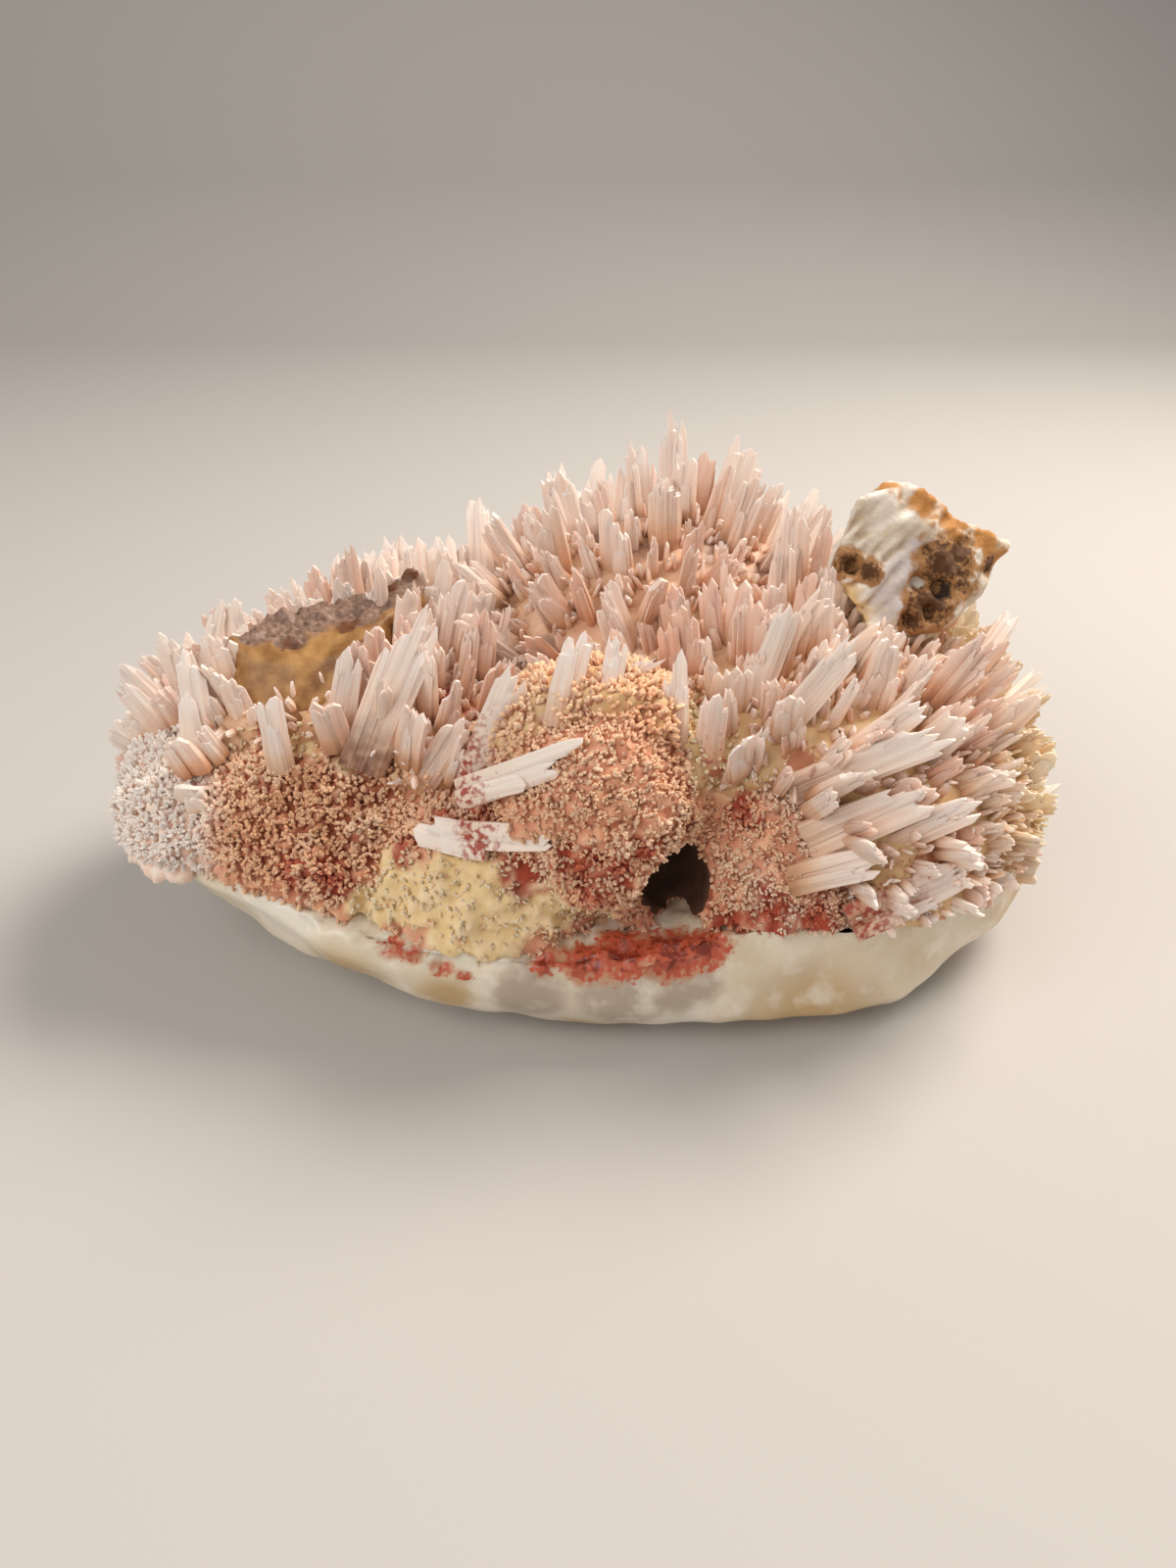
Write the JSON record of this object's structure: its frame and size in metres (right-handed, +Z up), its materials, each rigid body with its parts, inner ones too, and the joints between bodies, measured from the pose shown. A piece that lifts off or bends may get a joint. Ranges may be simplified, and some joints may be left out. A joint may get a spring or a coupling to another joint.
{
  "type": "stilbite on mordenite specimen",
  "caption": "Natural mineral specimen: radiating flat stilbite laths over rounded lobes of spongy mordenite, on a smooth pale bowl-shaped base that rests on a flat foot.",
  "frame": {"origin": "a point on the flat foot under the specimen, near the middle of its length", "axes": "+X along the specimen's length, towards the end with the short tan laths; -Y towards the bare mordenite front; +Z up"},
  "size_m": [0.1494, 0.1012, 0.0787],
  "materials": {
    "pale_base": "smooth, waxy, slightly translucent",
    "mordenite_crust": "spongy, granular, matte",
    "stilbite_crystals": "pearly, striated",
    "stilbite_blade_lying": "pearly, striated",
    "stilbite_blade_low": "pearly, striated",
    "stilbite_stub_left": "pearly",
    "matrix_shard_right": "earthy and fibrous, matte",
    "matrix_patch_left": "broken, fine-grained, matte"
  },
  "bodies": {
    "root": {"pale_base": "pale_base", "mordenite_crust": "mordenite_crust", "stilbite_crystals": "stilbite_crystals", "stilbite_blade_lying": "stilbite_blade_lying", "stilbite_blade_low": "stilbite_blade_low", "stilbite_stub_left": "stilbite_stub_left", "matrix_shard_right": "matrix_shard_right", "matrix_patch_left": "matrix_patch_left"}
  },
  "joints": []
}
